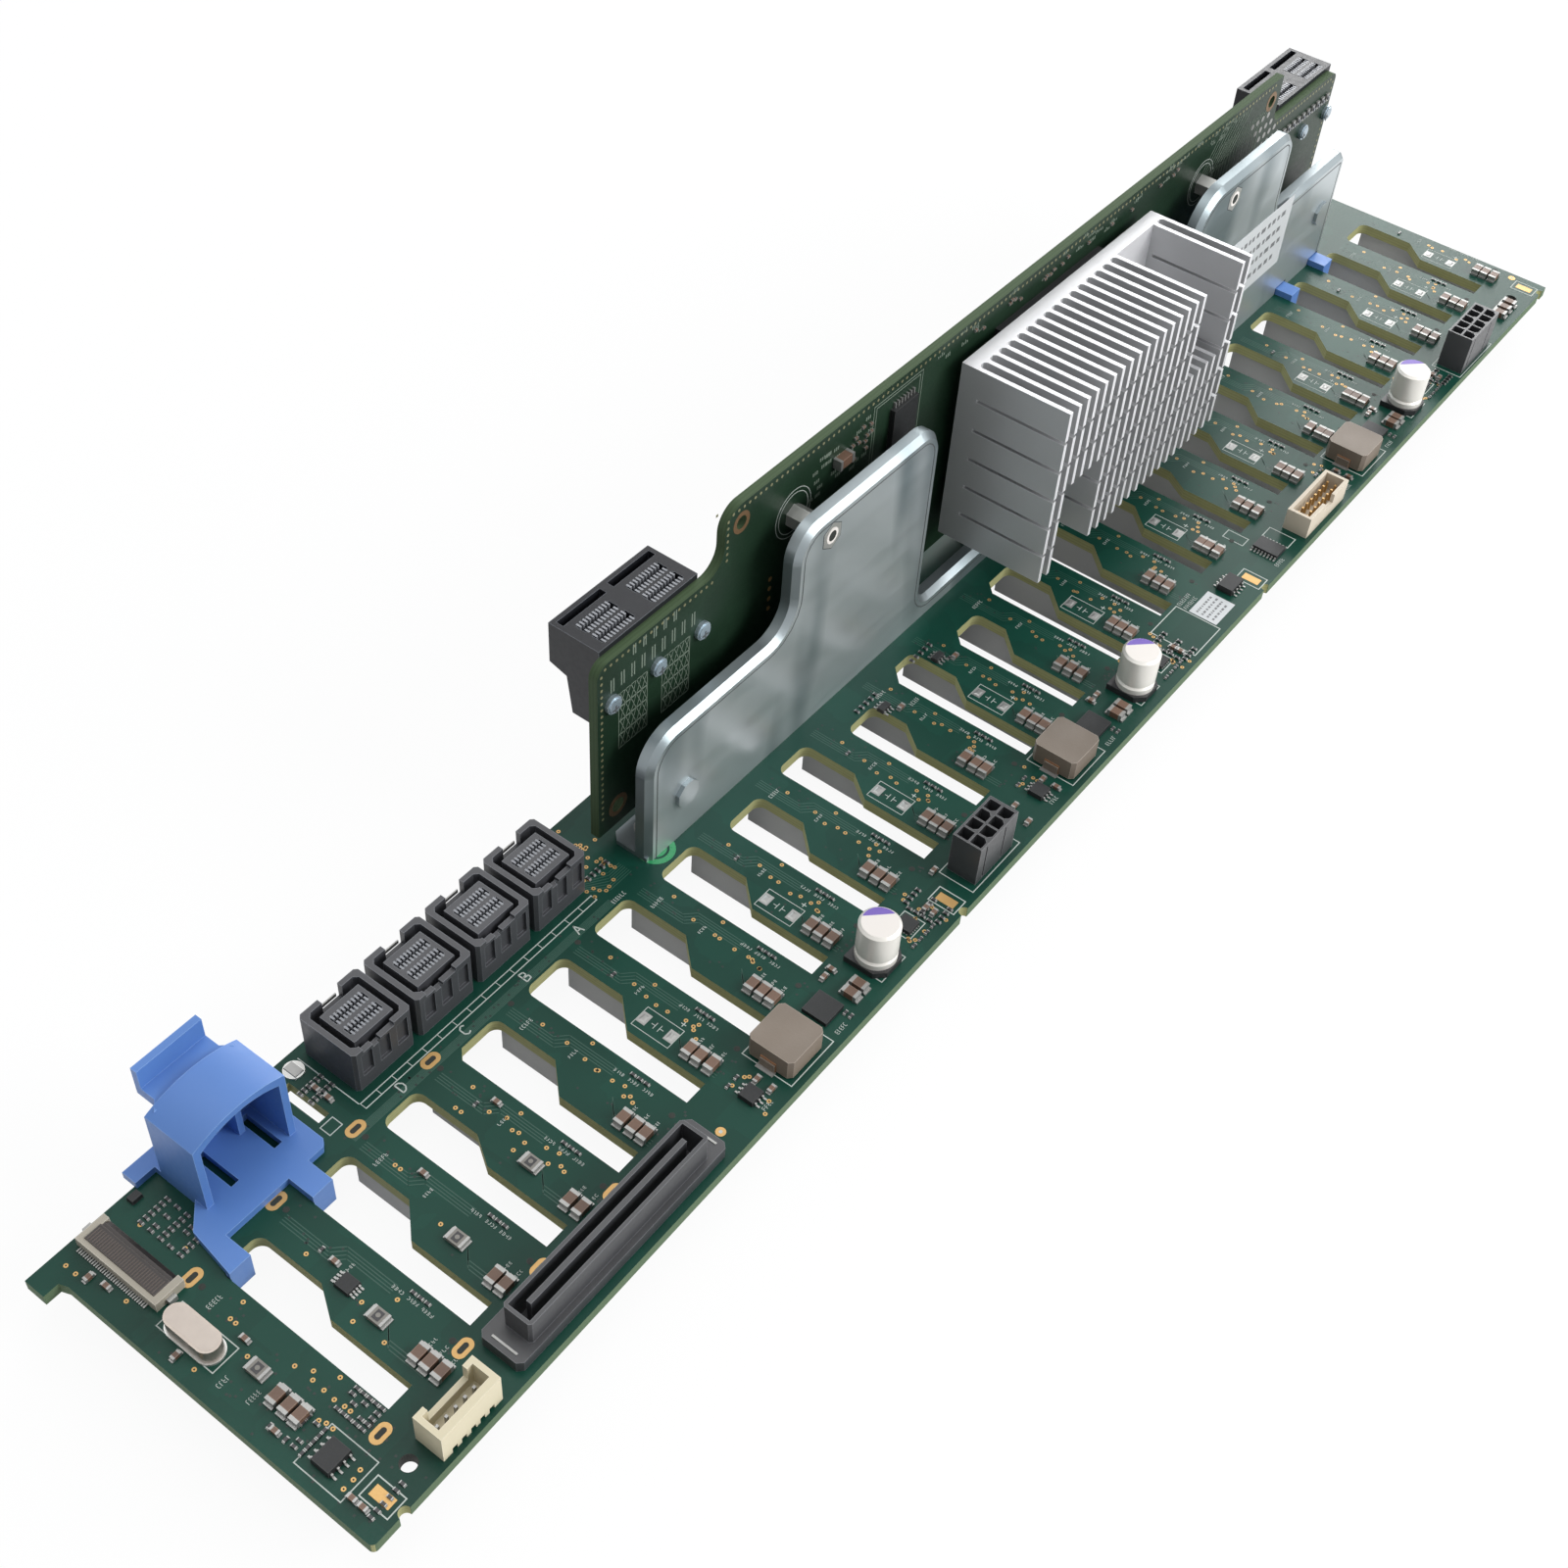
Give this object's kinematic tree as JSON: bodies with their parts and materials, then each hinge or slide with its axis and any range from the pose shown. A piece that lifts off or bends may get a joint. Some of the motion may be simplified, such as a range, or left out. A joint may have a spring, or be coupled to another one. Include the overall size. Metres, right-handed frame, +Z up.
{
  "type": "drive backplane board",
  "caption": "Long slotted circuit board with drive receptacles below, cable ports, a finned heat sink on an upright expander board, a steel bracket and a blue release handle.",
  "frame": {"origin": "middle of the bounding box at the level of the drive receptacles' mouths, on which the board rests", "axes": "+X along the board away from the blue handle, +Y from the power headers' edge to the cable ports' edge, +Z up from the populated face"},
  "size_m": [0.4274, 0.0752, 0.0696],
  "materials": {
    "main_laminate": "green solder mask over glass laminate",
    "expander_laminate": "green solder mask over glass laminate",
    "bracket_steel": "zinc-plated sheet",
    "sink_aluminium": "clear anodised",
    "chip_package": "moulded epoxy",
    "standoff_steel": "nickel plated",
    "screw_steel": "nickel plated",
    "link_plastic": "moulded",
    "port_plastic": "moulded",
    "dual_port_plastic": "moulded",
    "handle_blue": "moulded",
    "socket_plastic": "moulded",
    "cream_nylon": "moulded",
    "power_plastic": "moulded",
    "cream_shroud": "moulded",
    "pin_gold": "gold flash",
    "can_aluminium": "drawn can",
    "inductor_ferrite": "moulded ferrite",
    "ribbon_plastic": "moulded",
    "latch_plastic": "moulded",
    "crystal_metal": "nickel plated",
    "drive_plastic": "moulded"
  },
  "bodies": {
    "root": {"main_board": "main_laminate", "expander_board": "expander_laminate", "shield_bracket": "bracket_steel", "heat_sink": "sink_aluminium", "expander_chip": "chip_package", "bracket_standoffs": "standoff_steel", "port_screws": "screw_steel", "foot_screws": "screw_steel", "link_connector_near": "link_plastic", "link_connector_far": "link_plastic", "port_connector_a": "port_plastic", "port_connector_b": "port_plastic", "port_connector_c": "port_plastic", "port_connector_d": "port_plastic", "dual_port_near": "dual_port_plastic", "dual_port_far": "dual_port_plastic", "release_handle_near": "handle_blue", "release_handle_far": "handle_blue", "riser_socket": "socket_plastic", "wafer_header": "cream_nylon", "power_header_small": "power_plastic", "power_header_large": "power_plastic", "box_header": "cream_shroud", "box_header_pins": "pin_gold", "can_capacitor_1": "can_aluminium", "inductor_1": "inductor_ferrite", "driver_chip_1": "chip_package", "can_capacitor_2": "can_aluminium", "inductor_2": "inductor_ferrite", "driver_chip_2": "chip_package", "can_capacitor_3": "can_aluminium", "inductor_3": "inductor_ferrite", "driver_chip_3": "chip_package", "ribbon_connector": "ribbon_plastic", "ribbon_latch": "latch_plastic", "crystal_can": "crystal_metal", "drive_connector_01": "drive_plastic", "drive_connector_02": "drive_plastic", "drive_connector_03": "drive_plastic", "drive_connector_04": "drive_plastic", "drive_connector_05": "drive_plastic", "drive_connector_06": "drive_plastic", "drive_connector_07": "drive_plastic", "drive_connector_08": "drive_plastic", "drive_connector_09": "drive_plastic", "drive_connector_10": "drive_plastic", "drive_connector_11": "drive_plastic", "drive_connector_12": "drive_plastic", "drive_connector_13": "drive_plastic", "drive_connector_14": "drive_plastic", "drive_connector_15": "drive_plastic", "drive_connector_16": "drive_plastic", "drive_connector_17": "drive_plastic", "drive_connector_18": "drive_plastic", "drive_connector_19": "drive_plastic", "drive_connector_20": "drive_plastic", "drive_connector_21": "drive_plastic", "drive_connector_22": "drive_plastic", "drive_connector_23": "drive_plastic", "drive_connector_24": "drive_plastic"}
  },
  "joints": []
}
